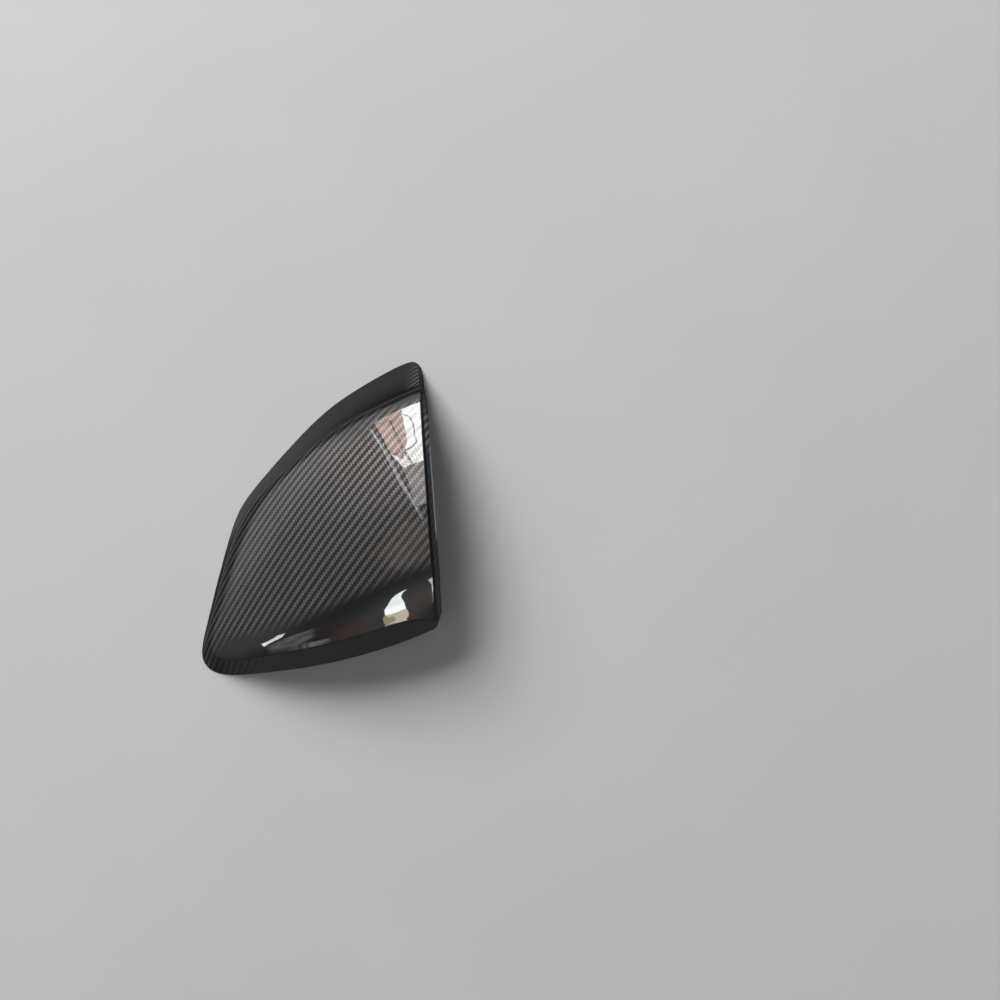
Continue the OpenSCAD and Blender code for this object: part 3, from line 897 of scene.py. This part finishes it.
# a roof light overhead and behind, with a thin strip beside it, and windows in front and to the left
overhead("roof_light_warm", [(-5.7, 14.2), (-1.8, 5.6), (-0.9, 4.6), (-1.1, 6.6), (-1.9, 9.4), (-2.7, 12.4), (-3.2, 14.2)],
         (1.0, 0.64, 0.58), 7.0)
overhead("roof_light", [(-3.2, 14.2), (-2.7, 12.4), (-1.9, 9.4), (-1.1, 6.6), (-0.9, 4.6), (-0.5, 3.9), (1.6, 3.9), (1.6, 14.2)],
         (1.0, 0.99, 0.98), 17.0)
overhead("roof_light_low", [(-1.8, 5.6), (-0.7, 3.8), (-0.5, 3.9), (-0.9, 4.6)], (1.0, 0.97, 0.96), 17.0)
overhead("roof_light_end", [(-0.7, 3.8), (0.48, 0.95), (2.2, 0.95), (2.2, 3.9), (-0.5, 3.9)], (1.0, 0.93, 0.92), 3.6)
bar("roof_bar_long", [(-3.6, 12.0), (-2.2, 8.2), (-1.3, 6.0), (-0.8, 4.9), (-0.3, 3.9)], 0.10, 1.6)
bar("roof_bar_far", [(-4.7, 12.4), (-3.6, 12.0), (-2.8, 12.2)], 0.12, 1.6)
bar("roof_bar_near", [(-2.2, 5.8), (-1.4, 5.3), (-1.0, 5.35), (-0.6, 5.5), (-0.4, 5.9)], 0.16, 2.6)
bar("roof_bar_right", [(-2.8, 12.4), (-1.8, 10.7), (-1.2, 8.9), (-0.9, 7.7), (-0.7, 6.7), (-0.4, 5.9)], 0.07, 4.0)
overhead("roof_strip", [(-5.56, 12.5), (-0.7, 2.78), (0.95, 0.1), (1.06, 0.1), (-0.58, 2.82), (-5.38, 12.5)], (0.92, 0.94, 1.0), 5.0)
upright("window", [(0.66, 1.0), (1.19, 1.0), (1.15, 1.8), (1.06, 2.7), (1.1, 3.3), (1.26, 3.75), (0.98, 3.56), (0.86, 3.38),
                   (0.75, 3.05), (0.68, 2.2), (0.62, 1.7)], (0.93, 0.98, 1.0), 19.0)
upright("window_low", [(0.62, 0.4), (1.34, 0.4), (1.19, 1.0), (0.66, 1.0)], (1.0, 0.86, 0.70), 8.5)
card("window_green", front([(0.58, 0.4), (0.86, 0.4), (0.93, 0.62), (0.8, 0.84), (0.72, 0.8), (0.66, 1.05), (0.6, 0.9)], -3.95),
     [tuple(range(7))], (0.80, 0.76, 0.36), 5.0)
upright("window_right", [(1.85, 1.3), (3.6, 1.3), (3.6, 4.0), (2.0, 4.0)], (0.93, 0.97, 1.0), 11.0)
upright("window_right_low", [(1.8, 0.2), (3.6, 0.2), (3.6, 1.3), (1.85, 1.3)], (1.0, 0.86, 0.84), 2.4)
card("window_left", [(-4, -2.8, 2.2), (-4, -4.1, 1.9), (-4, -3.1, 3.4), (-4, -2.5, 3.6), (-4, -2.2, 3.2)], [(0, 1, 2, 3, 4)], (0.95, 0.99, 1.0), 16.0)
glow("wall", front([(-2.1, 0.0), (-1.1, 0.1), (-0.9, 1.2), (-1.9, 3.2), (-3.5, 3.7), (-3.9, 1.8)]), (1.0, 0.93, 0.94), 1.35, 0.6)
glow("sill", front([(-1.3, 0.3), (-0.4, 0.3), (-0.4, 0.62), (-1.3, 0.62)]), (0.94, 0.97, 1.0), 1.8, 0.6)
glow("bricks_left", front([(-0.7, 0.0), (0.75, 0.0), (0.8, 1.6), (0.1, 2.0), (-0.6, 1.2)]), (1.0, 0.30, 0.24), 0.30)
glow("bricks_right", front([(1.0, 0.0), (2.4, 0.0), (2.4, 1.9), (1.1, 1.9)]), (1.0, 0.24, 0.20), 0.34)
glow("sky_low", [(0.05, 0.19, -1.0), (0.9, 0.19, -1.0), (0.9, 0.43, -1.0), (0.05, 0.43, -1.0)], (0.60, 0.80, 1.0), 0.75, 0.7)
glow("ceiling", [(-1.4, -1.0, 6), (-0.6, -2.2, 6), (0.8, -2.7, 6), (2.4, -2.1, 6), (2.8, -0.6, 6), (1.6, 0.8, 6), (-0.2, 0.6, 6)], (1.0, 0.80, 0.62), 0.6)


def studio_world():
    """Even grey for the light; for the gloss a room that is bright behind, dim in front and dark at the horizon."""
    world = bpy.data.worlds.new("studio")
    bpy.context.scene.world = world
    world.use_nodes = True
    g = Graph.__new__(Graph)
    g.t = world.node_tree
    back = next(n for n in g.t.nodes if n.type == "BACKGROUND")
    x, y, z = g.split(g.node("ShaderNodeTexCoord").outputs["Generated"])
    behind = g.math("ADD", g.math("MULTIPLY", x, -0.45), g.math("MULTIPLY", y, 0.89))
    top = g.ramp(behind, -0.35, 0.75, 0.05, 0.30)
    top = g.math("ADD", top, g.math("MULTIPLY", g.ramp(z, 0.55, 0.35), g.ramp(behind, 0.3, 0.7, 0.0, 0.55)))
    under = g.mix(g.ramp(behind, -0.3, 0.0), g.ramp(z, -0.95, -0.7, 0.05, 0.10), g.math("MULTIPLY", g.ramp(z, -0.64, -0.38, 0.14, 0.012), g.ramp(z, -0.85, -0.66, 0.15, 1.0)))
    level = g.mix(g.ramp(z, -0.10, 0.0), under, top)
    level = g.math("MULTIPLY", level, g.ramp(g.math("ABSOLUTE", g.math("ADD", z, 0.06)), 0.06, 0.18, 0.06, 1.0))
    room = g.node("ShaderNodeCombineColor")
    g.link(level, room.inputs[0])
    warm = g.math("MULTIPLY", g.ramp(behind, 0.4, -0.3), g.ramp(z, -0.3, 0.1))
    g.link(g.math("MULTIPLY", level, g.mix(warm, 0.985, 0.88)), room.inputs[1])
    g.link(g.math("MULTIPLY", level, g.mix(warm, 0.975, 0.80)), room.inputs[2])
    path = g.node("ShaderNodeLightPath")
    seen = g.tint(path.outputs["Is Diffuse Ray"], (0.55, 0.55, 0.55, 1), (0.15, 0.15, 0.15, 1))
    g.link(g.tint(path.outputs["Is Glossy Ray"], seen, room.outputs[0]), back.inputs["Color"])
    back.inputs["Strength"].default_value = 1.0


studio_world()
bpy.context.scene.view_settings.view_transform = "Standard"
